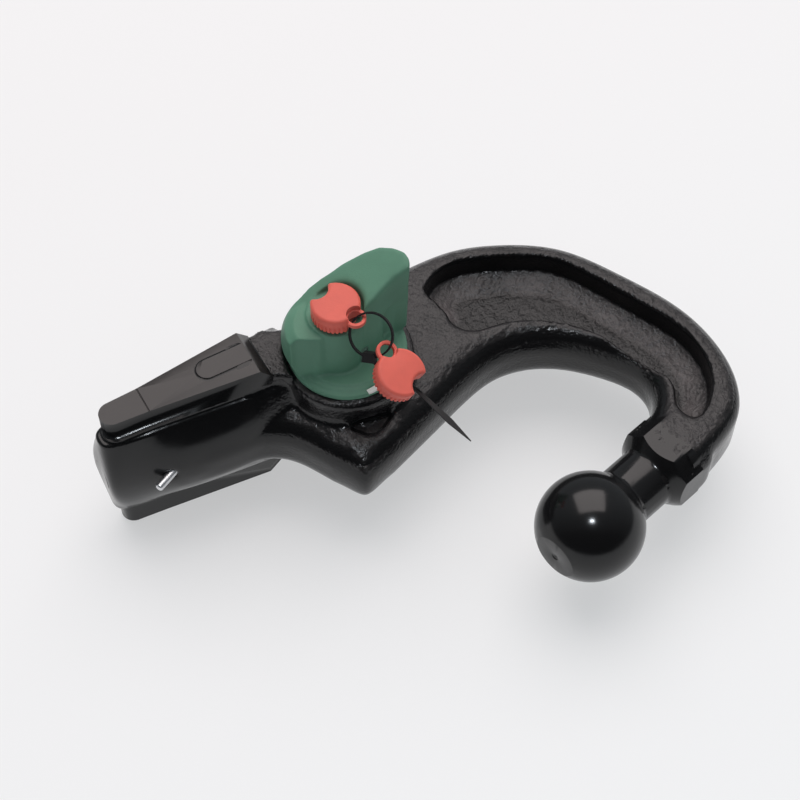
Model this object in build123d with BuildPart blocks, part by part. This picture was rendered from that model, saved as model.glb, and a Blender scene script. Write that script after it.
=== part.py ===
from build123d import *
import math
import os

# Detachable trailer hook: forged ball bar with a tongue that plugs into a
# receiver, a lockable hand wheel that turns a pinion, a rack rod that drives
# the locking bolt, and a sprung trigger pin.
# Millimetres. The origin is the centre of the coupling ball. X runs along the
# tongue's axis from its tip toward the hook, Z is square to the flat side.

os.makedirs("parts", exist_ok=True)

# Dimensions
ball_r = 25.0
ball_flat = 22.5
dimple_r = 2.0
neck_r = 14.5
neck_dir = (0.970, 0.243, 0.0)
collar_from = 37.0
collar_to = 62.0
collar_w = 36.0
collar_bevel = 8.5
arm_half = 18.0
outer_round = 8.5
inner_round = 14.0
web_half = 5.0
heel_hollow = 5.0

tongue_y = 131.3
ledge_half = 28.0
plateau_half = 43.0
plateau_drop = 1.5
plateau_rise = 0.5
saddle_z = 36.0
tongue_rear = -80.0
cross_line_x = -153.8
plateau_end_x = -102.0
saddle_x = -96.3
block_clear = 1.2
tab_h = 0.7

wheel_offset = 14.5
knob_x = -59.6
knob_y = tongue_y - wheel_offset
boss_r = 30.5
boss_top = 32.0
boss_bottom = -28.0
rim_r = 27.3
block_x0 = knob_x - 30.9
block_x1 = knob_x + 3.6

spindle_r = 7.0
run_fit = 0.05
bore_r = 10.6
pinion_pitch_r = 8.75
gear_module = 1.25
gear_teeth = 14
rod_r = 7.0
rod_fit = 0.06
plug_x = -177.0
plug_len = 4.0
rod_room = 23.0
rod_x0 = plug_x + plug_len + rod_room
rod_x1 = -38.0
rod_travel = pinion_pitch_r * math.pi / 2

bolt_r = 6.0
bolt_x = -136.0
bolt_lift = 4.4
ramp_x = bolt_x + 7.0

lock_x = knob_x - 6.0
lock_y = knob_y - 2.0
deck_z = 66.5
key_back_z = 68.5
key_top_z = 77.0
tie_block_a = math.radians(-50)
tail_points = [
    (0.5, -27.5, 57.0), (6.0, -31.5, 52.5), (9.6, -39.0, 50.5), (11.3, -43.7, 50.0),
    (18.6, -77.8, 50.0),
]
seal_outer_r = 26.3
seal_inner_r = 24.0
seal_t = 0.7
bolt_out = 21.6
key_head_r = 11.0
blade_len = 18.0

gap = 0.3

tab_x = -114.6
tab_y = 131.8
tab_l = 24.6
tab_w = 9.6
tab_slope = 0.0
cover_r = 13.5
cover_seat = 4.0
pin_r = 2.0
pin_inside = 9.0
pin_room = 6.0
pin_hollow_r = 1.35
pin_hollow = 7.0
pin_wire = 0.45
pin_out = 9.4
pin_travel = 5.0
pin_root = (-152.7, tongue_y - 17.8, 4.5)
pin_dir = (-0.905, -0.426, 0.0)
rod_wire = 1.3
rod_spring_r = 5.0
spring_well = 8.0
spring_well_r = 16.2
torsion_wire = 1.4
torsion_r = 13.4
spindle_flange_r = 11.0
dog_pitch_r = 19.6
dog_r = 2.0
dog_depth = 10.0
dog_margin = 7.5
dog_start = (math.cos(math.radians(dog_margin)), -math.sin(math.radians(dog_margin)), 0)
dog_normal = (dog_start[1], -dog_start[0], 0)
pin_plane = Plane(origin=pin_root, x_dir=(0, 0, 1), z_dir=pin_dir)


def at_knob(z):
    return Plane(origin=(knob_x, knob_y, z))


def at_lock(z):
    return Plane(origin=(lock_x, lock_y, z))


def save(name, part):
    part.label = name
    export_step(part, "parts/" + name + ".step")


# Forged bar
outer_wall = [
    (-150, 152.0), (-112, 152.5), (-86, 152.6), (-60, 154.6), (-30, 156.6), (-1.4, 157.4), (18, 156),
    (40.7, 147.8), (64.8, 131), (82.3, 103.9), (96.3, 73), (99.9, 48.4),
    (96.1, 26), (87.3, 12), (76.5, 5), (52.4, -3.4),
]
inner_wall = [
    (43.9, 29.5), (52, 32.5), (58.5, 39.5), (60.3, 50), (50.5, 68.5),
    (36.5, 82.3), (19.5, 90.8), (6, 92.2), (-9, 89.0), (-30.3, 81.5),
    (-57.5, 71.8), (-150, 38.9),
]
flare_wall = [
    (-150, 111.7), (-131.7, 108.6), (-118.1, 107.6), (-112.2, 107.2),
    (-104.4, 104.3), (-98.1, 98.6), (-91.4, 87.7), (-81.2, 68.6),
]
flare_run = (-53.0, 15.8)
web_pocket = [
    (-5, 140.3), (10, 146.2), (37.2, 137.4), (56, 125.3), (66.2, 110.1),
    (77.3, 86.5), (87.5, 62.3), (88.3, 42.2), (83, 28.9), (74.7, 20.4),
    (67, 17.5), (63.1, 24), (68.7, 37.3), (66.4, 50), (61.2, 62.3),
    (51.5, 82), (33.7, 98.2), (14, 106.5), (4.2, 108.1), (-1.2, 111.8),
    (-5.2, 131.1),
]


def spline_edges(part, length):
    return [
        e for e in part.edges()
        if abs(e.length - length) < 1.5 and abs(abs(e.center().Z) - arm_half) < 0.1
    ]


with BuildPart() as arm:
    with BuildSketch(Plane.XY.offset(-arm_half)):
        with BuildLine():
            outer_line = Spline(outer_wall)
            Line(outer_wall[-1], inner_wall[0])
            inner_line = Spline(inner_wall)
            Line(inner_wall[-1], outer_wall[0])
        make_face()
    extrude(amount=2 * arm_half)
    fillet(spline_edges(arm, outer_line.length), outer_round)
    fillet(spline_edges(arm, inner_line.length), inner_round)

with BuildPart() as flare:
    with BuildSketch(Plane.XY.offset(-arm_half)):
        with BuildLine():
            flare_line = Spline(flare_wall, tangents=[(1, -0.16), (0.47, -0.88)])
            flare_tail = Line(flare_line @ 1, flare_run)
            Polyline(flare_run, (120, -30), (120, 180), (-150, 180), flare_line @ 0)
        make_face()
    extrude(amount=2 * arm_half)
    fillet(
        spline_edges(flare, flare_line.length)
        + [e for e in spline_edges(flare, flare_tail.length)
           if e.geom_type == GeomType.LINE and e.center().X < 0],
        inner_round,
    )

# Tongue sections: half width against X at the parting plane and at the ledge.
mid_half = [(-178.6, 10.8), (-170, 13.6), (-150.3, 19.6), (-131.7, 22.7), (-112, 24.1)]
ledge_half_w = [(-177.0, 3.6), (-170.8, 6.6), (-150, 8.7), (-125.3, 11.0), (-112, 12.6)]


def tongue_section(z, stations, tip_x, grow):
    near = [(x, tongue_y - w) for x, w in stations]
    far = [(x, tongue_y + w) for x, w in reversed(stations)]
    end_w = stations[-1][1] + grow
    with BuildSketch(Plane.XY.offset(z)) as section:
        with BuildLine():
            Spline(
                [(tongue_rear, tongue_y + end_w)] + far + [(tip_x, tongue_y)]
                + near + [(tongue_rear, tongue_y - end_w)]
            )
            Line((tongue_rear, tongue_y - end_w), (tongue_rear, tongue_y + end_w))
        make_face()
    return section.sketch


with BuildPart() as tongue:
    add(tongue_section(-ledge_half, ledge_half_w, -177.9, 6.0))
    add(tongue_section(0, mid_half, -179.4, 0.6))
    add(tongue_section(ledge_half, ledge_half_w, -177.9, 6.0))
    loft()

plateau_side = [
    (-176, -plateau_half + plateau_drop), (cross_line_x, -plateau_half),
    (plateau_end_x, -plateau_half), (saddle_x, -saddle_z), (saddle_x, saddle_z),
    (plateau_end_x, plateau_half), (cross_line_x, plateau_half),
    (-176, plateau_half + plateau_rise),
]
tip_centre_x = -168.7
tip_r = 5.9

with BuildPart() as plateau:
    with BuildSketch(Plane.XY.offset(-plateau_half)):
        with BuildLine():
            tip = ThreePointArc(
                (tip_centre_x, tongue_y + tip_r), (tip_centre_x - tip_r, tongue_y),
                (tip_centre_x, tongue_y - tip_r),
            )
            Polyline(
                tip @ 1, (cross_line_x, tongue_y - 6.7), (plateau_end_x, tongue_y - 12.0),
                (saddle_x, tongue_y - 12.5), (saddle_x, tongue_y + 12.5),
                (plateau_end_x, tongue_y + 12.0), (cross_line_x, tongue_y + 6.7), tip @ 0,
            )
        make_face()
    extrude(amount=2 * plateau_half + plateau_rise)
    with BuildSketch(Plane.XZ.offset(-tongue_y)):
        with BuildLine():
            Polyline(plateau_side, close=True)
        make_face()
    extrude(amount=20, both=True, mode=Mode.INTERSECT)

neck_plane = Plane(origin=(0, 0, 0), x_dir=(0, 0, 1), z_dir=neck_dir)

with BuildPart() as collar:
    with BuildSketch(neck_plane.offset(collar_from)):
        Rectangle(collar_w, collar_w)
        chamfer(vertices(), collar_bevel)
    extrude(amount=collar_to - collar_from)
    with BuildSketch(neck_plane.offset(collar_from)):
        Circle(neck_r)
    with BuildSketch(neck_plane.offset(collar_to)):
        Circle(neck_r + collar_to - collar_from)
    loft(mode=Mode.INTERSECT)

with BuildPart() as forged_bar:
    add(arm.part)
    add(flare.part, mode=Mode.INTERSECT)
    add(tongue.part)
    add(plateau.part)
    with BuildSketch(at_knob(boss_bottom)):
        Circle(boss_r)
    extrude(amount=boss_top - boss_bottom)
    with BuildSketch(Plane.XY.offset(boss_bottom)):
        with BuildLine():
            Polyline(
                (block_x0, knob_y - 2.3), (block_x0, tongue_y + 17.0),
                (block_x0 + 9.5, tongue_y + 12.5), (block_x1, tongue_y + 10.7),
                (block_x1, knob_y + 1.2), close=True,
            )
        make_face()
    extrude(amount=boss_top - 0.5 - boss_bottom)
    # saddle between the plateau and the hand wheel
    with BuildSketch(Plane.XY.offset(boss_bottom)) as saddle:
        with BuildLine():
            Polyline(
                (saddle_x - 1, tongue_y - 12.4), (saddle_x + 0.5, tongue_y - 12.5),
                (saddle_x + 4.5, knob_y - 0.6), (saddle_x + 11, knob_y - 5.0),
                (knob_x, knob_y), (saddle_x + 22, tongue_y + 6.0),
                (saddle_x + 14.5, tongue_y + 9.5), (saddle_x + 7.5, tongue_y + 13.2),
                (saddle_x - 1, tongue_y + 12.4), close=True,
            )
        make_face()
        with Locations((knob_x, knob_y)):
            Circle(rim_r + block_clear, mode=Mode.SUBTRACT)
    extrude(amount=saddle_z - boss_bottom)
    # dark hollow between the boss and the heel's rim
    with BuildSketch(Plane.XY.offset(arm_half)):
        with BuildLine():
            Polyline(
                (-77.5, 92.5), (-65.5, 79.5), (-49.5, 87.5), (-60.0, 90.0), (-70.0, 92.0),
                close=True,
            )
        make_face()
    extrude(amount=-heel_hollow, mode=Mode.SUBTRACT)
    # web pocket on both faces
    with BuildSketch(Plane.XY.offset(web_half)):
        with BuildLine():
            Spline(web_pocket, periodic=True)
        make_face()
    extrude(amount=arm_half, mode=Mode.SUBTRACT)
    with BuildSketch(Plane.XY.offset(-web_half)):
        with BuildLine():
            Spline(web_pocket, periodic=True)
        make_face()
    extrude(amount=-arm_half, mode=Mode.SUBTRACT)
    # faceted collar, neck and ball
    add(collar.part)
    with BuildSketch(neck_plane):
        Circle(neck_r)
    extrude(amount=collar_from + 1)
    Sphere(ball_r)
    with BuildSketch(neck_plane.offset(-ball_flat)):
        Circle(ball_r)
    extrude(amount=-ball_r, mode=Mode.SUBTRACT)
    with BuildSketch(neck_plane.offset(-ball_flat)):
        Circle(dimple_r)
    extrude(amount=1.0, taper=40, mode=Mode.SUBTRACT)
    # raised tab on the upper plateau
    with BuildSketch(Plane(origin=(tab_x, tab_y, plateau_half), x_dir=(1, tab_slope, 0))):
        SlotOverall(tab_l, tab_w)
        with Locations((tab_l / 4, 0)):
            Rectangle(tab_l / 2, tab_w)
    extrude(amount=tab_h)
    # spindle bore and cover seat
    with BuildSketch(at_knob(boss_bottom)):
        Circle(bore_r)
    extrude(amount=boss_top - boss_bottom, mode=Mode.SUBTRACT)
    with BuildSketch(at_knob(boss_bottom)):
        Circle(cover_r)
    extrude(amount=cover_seat, mode=Mode.SUBTRACT)
    with BuildSketch(at_knob(boss_top)):
        Circle(spring_well_r)
    extrude(amount=-spring_well, mode=Mode.SUBTRACT)
    # rod bore from the tongue's tip
    with BuildSketch(Plane.YZ.offset(plug_x - 8)):
        with Locations((tongue_y, 0)):
            Circle(rod_r + rod_fit)
    extrude(amount=rod_x1 + gap - plug_x + 8, mode=Mode.SUBTRACT)
    # locking bolt bore on the far side of the tongue
    with BuildSketch(Plane(origin=(bolt_x, tongue_y, 0), z_dir=(0, 1, 0))):
        Circle(bolt_r + run_fit)
    extrude(amount=30, mode=Mode.SUBTRACT)
    # trigger pin bore
    with BuildSketch(pin_plane.offset(-pin_inside - pin_room)):
        Circle(pin_r + run_fit)
    extrude(amount=pin_inside + pin_room + pin_out, mode=Mode.SUBTRACT)
    # arc groove for the wheel's stop dog
    with BuildSketch(Plane(origin=(knob_x, knob_y, 0), x_dir=dog_start, z_dir=dog_normal)):
        with Locations((dog_pitch_r, boss_top - dog_depth / 2)):
            Rectangle(2 * dog_r + 2 * gap, dog_depth)
    revolve(
        axis=Axis((knob_x, knob_y, 0), (0, 0, 1)), revolution_arc=90 + 2 * dog_margin,
        mode=Mode.SUBTRACT,
    )
save("forged_bar", forged_bar.part)

# Fixed pieces in the bar
bush_len = 15.0
upper_bush_z = 17.3
lower_bush_z = -23.5
lower_bush_len = 14.5

with BuildPart() as upper_bush:
    with BuildSketch(at_knob(upper_bush_z)):
        Circle(bore_r)
        Circle(spindle_r + run_fit, mode=Mode.SUBTRACT)
    extrude(amount=bush_len)
save("upper_bush", upper_bush.part)

with BuildPart() as lower_bush:
    with BuildSketch(at_knob(lower_bush_z)):
        Circle(bore_r)
        Circle(spindle_r + run_fit, mode=Mode.SUBTRACT)
    extrude(amount=lower_bush_len)
save("lower_bush", lower_bush.part)

with BuildPart() as bottom_cover:
    with BuildSketch(at_knob(boss_bottom)):
        Circle(cover_r)
    extrude(amount=1.5)
save("bottom_cover", bottom_cover.part)

with BuildPart() as boss_seal:
    with BuildSketch(at_knob(boss_top)):
        Circle(seal_outer_r)
        Circle(seal_inner_r, mode=Mode.SUBTRACT)
    extrude(amount=seal_t)
save("boss_seal", boss_seal.part)

# The plug closes the rod's bore flush with the tongue's tip.
with BuildPart() as tip_plug:
    with BuildSketch(Plane.YZ.offset(plug_x - 8)):
        with Locations((tongue_y, 0)):
            Circle(rod_r + rod_fit)
    extrude(amount=plug_len + 8)
    add(tongue.part, mode=Mode.INTERSECT)
save("tip_plug", tip_plug.part)


def coil(length, pitch, radius, wire, start, direction):
    # Spring of square wire; length is the whole spring, from end to end.
    rise = Vector(direction).normalized()
    first = Vector(start) + rise * wire * 0.6
    with BuildPart() as spring:
        with BuildLine():
            path = Helix(
                pitch, length - 1.2 * wire, radius, center=tuple(first), direction=direction,
            )
        with BuildSketch(Plane(origin=path @ 0, z_dir=path % 0, x_dir=direction)):
            Rectangle(wire, wire)
        sweep(is_frenet=True)
    return spring.part


# Both compression springs are drawn at the length they have at full travel.
rod_spring = coil(
    rod_room - rod_travel - 2 * gap, 2.2 * rod_wire, rod_spring_r, rod_wire,
    (plug_x + plug_len, tongue_y, 0), (1, 0, 0),
)
save("rod_spring", rod_spring)

pin_spring = coil(
    pin_room + pin_hollow - pin_travel - gap, 2.2 * pin_wire, pin_hollow_r - pin_wire,
    pin_wire, tuple(pin_plane.offset(-pin_inside - pin_room).origin), pin_dir,
)
save("pin_spring", pin_spring)

# Trigger pin
with BuildPart() as trigger_pin:
    with BuildSketch(pin_plane.offset(-pin_inside)):
        Circle(pin_r)
    extrude(amount=pin_inside + pin_out)
    fillet(trigger_pin.faces().sort_by(Axis(pin_root, pin_dir))[-1].edges(), 1.2)
    with BuildSketch(pin_plane.offset(-pin_inside)):
        Circle(pin_hollow_r)
    extrude(amount=pin_hollow, mode=Mode.SUBTRACT)
save("trigger_pin", trigger_pin.part)

# Spindle group
spindle_z0 = lower_bush_z - 2.2
hex_af = 12.0
flange_z = upper_bush_z + bush_len + run_fit
hex_z0 = 34.4
hex_z1 = 44.0

with BuildPart() as spindle:
    with BuildSketch(at_knob(spindle_z0)):
        Circle(spindle_r)
    extrude(amount=33.0 - spindle_z0)
    with BuildSketch(at_knob(flange_z)):
        Circle(spindle_flange_r)
    extrude(amount=hex_z0 - flange_z)
    with BuildSketch(at_knob(hex_z0)):
        RegularPolygon(hex_af / 2, 6, major_radius=False)
    extrude(amount=hex_z1 - hex_z0)
    with BuildSketch(at_knob(spindle_z0 + 0.7)):
        Circle(spindle_r)
        Circle(spindle_r - 0.8, mode=Mode.SUBTRACT)
    extrude(amount=1.2, mode=Mode.SUBTRACT)
save("spindle", spindle.part)

pinion_half = 7.0
tooth_w = gear_module * math.pi / 2
tooth_tip_w = 0.7
root_r = pinion_pitch_r - 1.25 * gear_module
tip_radius = pinion_pitch_r + gear_module

with BuildPart() as pinion:
    with BuildSketch(at_knob(-pinion_half)) as pinion_plan:
        Circle(root_r)
        with PolarLocations(0, gear_teeth, start_angle=90):
            Polygon(
                (root_r - 0.5, -tooth_w * 0.58), (pinion_pitch_r, -tooth_w / 2 + 0.26),
                (tip_radius - 0.25, -tooth_tip_w / 2), (tip_radius - 0.25, tooth_tip_w / 2),
                (pinion_pitch_r, tooth_w / 2 - 0.26), (root_r - 0.5, tooth_w * 0.58),
                align=None,
            )
        Circle(spindle_r, mode=Mode.SUBTRACT)
    extrude(amount=2 * pinion_half)
save("pinion", pinion.part)

with BuildPart() as spindle_clip:
    with BuildSketch(at_knob(spindle_z0 + 0.8)):
        Circle(9.2)
        Circle(spindle_r - 0.7, mode=Mode.SUBTRACT)
        with Locations((8, 0)):
            Rectangle(10, 4, mode=Mode.SUBTRACT)
    extrude(amount=1.0)
save("spindle_clip", spindle_clip.part)

# Rack rod
rack_pitch_y = knob_y + pinion_pitch_r
pitch = gear_module * math.pi
ramp_slope = bolt_lift / rod_travel
ramp_y = tongue_y + 1.0
notch_x0 = bolt_x - 7.5
notch_x1 = bolt_x + 28.0


def ramp_at(x):
    return ramp_y + ramp_slope * (x - ramp_x)


with BuildPart() as rack_rod:
    with BuildSketch(Plane.YZ.offset(rod_x0)):
        with Locations((tongue_y, 0)):
            Circle(rod_r)
    extrude(amount=rod_x1 - rod_x0)
    # tooth gaps: one faces the pinion tooth that points at the rod at rest
    with BuildSketch(Plane.XY.offset(-rod_r)):
        with Locations(
            *[(knob_x + k * pitch, rack_pitch_y) for k in range(-3, 8)]
        ):
            Polygon(
                (-tooth_w * 0.86, -gear_module - 1.0), (-tooth_w * 0.68, -gear_module - 0.1),
                (-0.9, 1.3 * gear_module), (0.9, 1.3 * gear_module),
                (tooth_w * 0.68, -gear_module - 0.1), (tooth_w * 0.86, -gear_module - 1.0),
                align=None,
            )
    extrude(amount=2 * rod_r, mode=Mode.SUBTRACT)
    # wedge ramp that lifts the locking bolt
    with BuildSketch(Plane.XY.offset(-rod_r)):
        with BuildLine():
            Polyline(
                (notch_x0, tongue_y + rod_r + 1), (notch_x0, ramp_at(notch_x0)),
                (notch_x1, ramp_at(notch_x1)), (notch_x1, tongue_y + rod_r + 1),
                close=True,
            )
        make_face()
    extrude(amount=2 * rod_r, mode=Mode.SUBTRACT)
save("rack_rod", rack_rod.part)

bolt_out_y = tongue_y + bolt_out

with BuildPart() as locking_bolt:
    with BuildSketch(Plane(origin=(bolt_x, tongue_y - 8, 0), z_dir=(0, 1, 0))):
        Circle(bolt_r)
    extrude(amount=bolt_out_y - tongue_y + 8)
    fillet(locking_bolt.faces().sort_by(Axis.Y)[-1].edges(), 2.5)
    with BuildSketch(Plane.XY.offset(-bolt_r - 1)):
        with BuildLine():
            Polyline(
                (bolt_x - 14, tongue_y - 12), (bolt_x + 16, tongue_y - 12),
                (bolt_x + 16, ramp_at(bolt_x + 16) + gap),
                (bolt_x - 14, ramp_at(bolt_x - 14) + gap), close=True,
            )
        make_face()
    extrude(amount=2 * bolt_r + 2, mode=Mode.SUBTRACT)
save("locking_bolt", locking_bolt.part)

# Hand wheel
rim_z = 33.0
floor_z = 38.0
drum_r = 29.7
drum_z = 45.0
top_z_left = 62.0
top_slope = 0.49
top_x_left = -20.0
wheel_top = 92.0
grip_foot = [
    (-20, -8.5), (-9.1, -11.9), (-3.4, -12.2), (2.6, -11.5), (9.8, -10), (22.1, -4.3),
    (28.6, -4.1), (29.4, -1.5), (29.6, 2), (28.4, 9), (24.5, 15), (16.7, 18.5), (7.2, 19.5),
    (-8.8, 19.5), (-20, 17),
]
grip_top = [
    (-18, -7), (-9, -9), (-3, -9), (5.3, -8.2), (12, -7.2), (19.6, -6.6),
    (28.2, -7.4), (30.6, -3.5), (30.6, 1.2), (27.4, 6.6), (23, 11), (16.7, 13.2), (7.2, 15.4),
    (-8.8, 15.1), (-20, 12),
]
deck_x = knob_x - 5.5
deck_y = knob_y - 0.5
deck_r = 13.0


def around_knob(points):
    return [(knob_x + x, knob_y + y) for x, y in points]


shoulder_z = 62.0
shoulder_r = 19.8
shoulder_x = knob_x - 10.0
shoulder_y = knob_y - 3.0
shoulder_top_z = 65.0

with BuildPart() as drum:
    with BuildSketch(at_knob(rim_z + 1.2)):
        Circle(rim_r - 0.8)
    with BuildSketch(at_knob(drum_z)):
        Circle(drum_r)
    loft()
    with BuildSketch(at_knob(drum_z)):
        Circle(drum_r)
    with BuildSketch(Plane(origin=(shoulder_x, shoulder_y, shoulder_z))):
        Circle(shoulder_r)
    loft()
    with BuildSketch(Plane(origin=(shoulder_x, shoulder_y, shoulder_z))):
        Circle(shoulder_r)
    with BuildSketch(Plane(origin=(shoulder_x, shoulder_y, shoulder_top_z))):
        Circle(shoulder_r - 4.0)
    loft()
    with BuildSketch(Plane.XY.offset(rim_z)):
        with BuildLine():
            Polyline(
                around_knob([(-40, -3.3), (-27.3, -3.3), (-17.7, -9), (-5, -9), (-2, 17.5),
                             (-4, 40), (-40, 40)]),
                close=True,
            )
        make_face()
    extrude(amount=wheel_top, mode=Mode.INTERSECT)

with BuildPart() as grip:
    with BuildSketch(Plane.XY.offset(floor_z - 1)):
        with BuildLine():
            Polyline(around_knob(grip_foot), close=True)
        make_face()
    with BuildSketch(Plane.XY.offset(wheel_top)):
        with BuildLine():
            Polyline(around_knob(grip_top), close=True)
        make_face()
    loft(ruled=True)
    with BuildSketch(Plane(origin=(knob_x, knob_y + 40, 0), x_dir=(1, 0, 0), z_dir=(0, -1, 0))):
        Polygon(
            (-40, 30), (40, 30), (40, top_z_left + top_slope * (40 - top_x_left)),
            (top_x_left, top_z_left), (-40, top_z_left), align=None,
        )
    extrude(amount=80, mode=Mode.INTERSECT)

# Shallow relief in the grip's flat wall, under a ridge that climbs with the top.
relief_ridge = [(14.2, 58.8), (18.8, 62), (24, 67), (33, 76.5)]
relief_floor_y = -5.4

insert_r = 21.9
insert_z0 = 34.9
insert_z1 = 36.1
hub_r = 11.4
hub_z0 = hex_z0 + gap
hub_z1 = 45.8
screw_pitch_r = 16.0
screw_r = 1.6
screw_head_r = 2.6
screw_head_h = 1.5
screw_len = 12.0
screw_first = 30
lock_z0 = 49.0
lock_r = 8.0
plug_r = 6.2
mark_l = 9.0
mark_w = 2.3

with BuildPart() as hand_wheel:
    with BuildSketch(at_knob(rim_z)):
        Circle(rim_r)
    extrude(amount=3.2)
    with BuildSketch(at_knob(rim_z)):
        Circle(24.6)
    extrude(amount=4.1)
    with BuildSketch(at_knob(rim_z)):
        Circle(22.5)
    extrude(amount=floor_z - rim_z)
    add(drum.part)
    add(grip.part)
    with BuildSketch(Plane(origin=(deck_x, deck_y, floor_z))):
        Circle(deck_r)
    extrude(amount=deck_z - floor_z)
    with BuildSketch(Plane(origin=(deck_x, deck_y, deck_z))):
        Circle(deck_r - 0.5)
    extrude(amount=40, mode=Mode.SUBTRACT)
    with BuildSketch(Plane(
        origin=(knob_x, knob_y + relief_floor_y, 0), x_dir=(1, 0, 0), z_dir=(0, -1, 0),
    )):
        Polygon(*relief_ridge, (33, floor_z + 4), (14.2, floor_z + 4), align=None)
    extrude(amount=20, mode=Mode.SUBTRACT)
    # underside: insert seat and lock bore
    with BuildSketch(at_knob(rim_z)):
        Circle(insert_r + 0.1)
    extrude(amount=insert_z1 - rim_z, mode=Mode.SUBTRACT)
    with BuildSketch(at_knob(rim_z)):
        Circle(hub_r + 0.1)
    extrude(amount=hub_z1 - rim_z, mode=Mode.SUBTRACT)
    with BuildSketch(at_lock(hub_z1)):
        Circle(plug_r)
    extrude(amount=lock_z0 - hub_z1, mode=Mode.SUBTRACT)
    with BuildSketch(at_lock(lock_z0)):
        Circle(lock_r)
    extrude(amount=deck_z - lock_z0, mode=Mode.SUBTRACT)
    with BuildSketch(at_knob(insert_z1)):
        with PolarLocations(screw_pitch_r, 3, start_angle=screw_first, angular_range=120):
            Circle(screw_r)
    extrude(amount=screw_len - screw_head_h, mode=Mode.SUBTRACT)
    # seat of the white mark
    with BuildSketch(Plane(origin=(knob_x + 0.8, knob_y - 25.9, rim_z + 2.2))):
        Rectangle(mark_l, mark_w, rotation=5)
    extrude(amount=2, mode=Mode.SUBTRACT)
save("hand_wheel", hand_wheel.part)

with BuildPart() as wheel_mark:
    with BuildSketch(Plane(origin=(knob_x + 0.8, knob_y - 25.9, rim_z + 2.2))):
        Rectangle(mark_l, mark_w, rotation=5)
    extrude(amount=1.2)
    with BuildSketch(at_knob(rim_z)):
        Circle(rim_r)
    extrude(amount=10, mode=Mode.INTERSECT)
save("wheel_mark", wheel_mark.part)

with BuildPart() as drive_insert:
    with BuildSketch(at_knob(insert_z0)):
        Circle(insert_r)
    extrude(amount=insert_z1 - insert_z0)
    with BuildSketch(at_knob(hub_z0)):
        Circle(hub_r)
    extrude(amount=hub_z1 - hub_z0)
    with BuildSketch(at_knob(hub_z0)):
        RegularPolygon(hex_af / 2 + run_fit, 6, major_radius=False)
    extrude(amount=hub_z1 - hub_z0, mode=Mode.SUBTRACT)
    with BuildSketch(at_knob(insert_z0)):
        with PolarLocations(screw_pitch_r, 3, start_angle=screw_first, angular_range=120):
            Circle(screw_r)
    extrude(amount=insert_z1 - insert_z0, mode=Mode.SUBTRACT)
save("drive_insert", drive_insert.part)

with BuildPart() as insert_screws:
    with BuildSketch(at_knob(insert_z0 - screw_head_h)):
        with PolarLocations(screw_pitch_r, 3, start_angle=screw_first, angular_range=120):
            Circle(screw_head_r)
    extrude(amount=screw_head_h)
    with BuildSketch(at_knob(insert_z0)):
        with PolarLocations(screw_pitch_r, 3, start_angle=screw_first, angular_range=120):
            Circle(screw_r)
    extrude(amount=screw_len - screw_head_h - 1.0)
save("insert_screws", insert_screws.part)

# Stop dog: rides in the arc groove of the boss at both heights of the wheel.
with BuildPart() as stop_dog:
    with BuildSketch(at_knob(boss_top - dog_depth + 0.6)):
        with Locations((dog_pitch_r, 0)):
            Circle(dog_r)
    extrude(amount=insert_z0 - boss_top + dog_depth - 0.6)
save("stop_dog", stop_dog.part)

torsion_spring = coil(
    spring_well - 2.6, 2.0, torsion_r, torsion_wire,
    (knob_x, knob_y, boss_top - spring_well + gap), (0, 0, 1),
)
save("torsion_spring", torsion_spring)

# Lock
with BuildPart() as lock_housing:
    with BuildSketch(at_lock(lock_z0)):
        Circle(lock_r)
    extrude(amount=deck_z - lock_z0)
    with BuildSketch(at_lock(deck_z)):
        Circle(lock_r + 1.4)
    extrude(amount=0.8)
    with BuildSketch(at_lock(lock_z0)):
        Circle(plug_r + run_fit)
    extrude(amount=30, mode=Mode.SUBTRACT)
save("lock_housing", lock_housing.part)

blade_w = 6.0
groove_w = 1.4
groove_t = 0.7
blade_t = 2.0
blade_z0 = key_back_z - blade_len

with BuildPart() as lock_plug:
    with BuildSketch(at_lock(lock_z0 - 0.4)):
        Circle(plug_r)
    extrude(amount=deck_z + 0.6 - lock_z0 + 0.4)
    with BuildSketch(at_lock(blade_z0 - 0.5)):
        Rectangle(blade_t + 0.2, blade_w + 0.2)
    extrude(amount=30, mode=Mode.SUBTRACT)
save("lock_plug", lock_plug.part)

with BuildPart() as lock_cam:
    with BuildSketch(at_lock(lock_z0 - 2.2)):
        Circle(plug_r - 1.2)
        with Locations((-2.6, 0)):
            Rectangle(5.4, 3.4)
    extrude(amount=1.8)
    with BuildSketch(at_lock(lock_z0 - 2.2)):
        Circle(plug_r - 0.4)
    extrude(amount=1.8, mode=Mode.INTERSECT)
save("lock_cam", lock_cam.part)

# Keys and tie
eye_reach = 10.7
eye_r = 4.7
eye_hole_r = 3.3
eye_t = 2.0
scoop_r = 6.0
scoop_reach = 12.2
rib_count = 36
rib_depth = 0.45
rib_h = 4.0
cap_round = 1.5
key_head_h = key_top_z - key_back_z
ear_low = key_head_h / 2 + 0.4 - eye_t / 2
key_1_eye = -64.4
key_1_scoop = 110.0
key_2_scoop = -148.0


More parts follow.
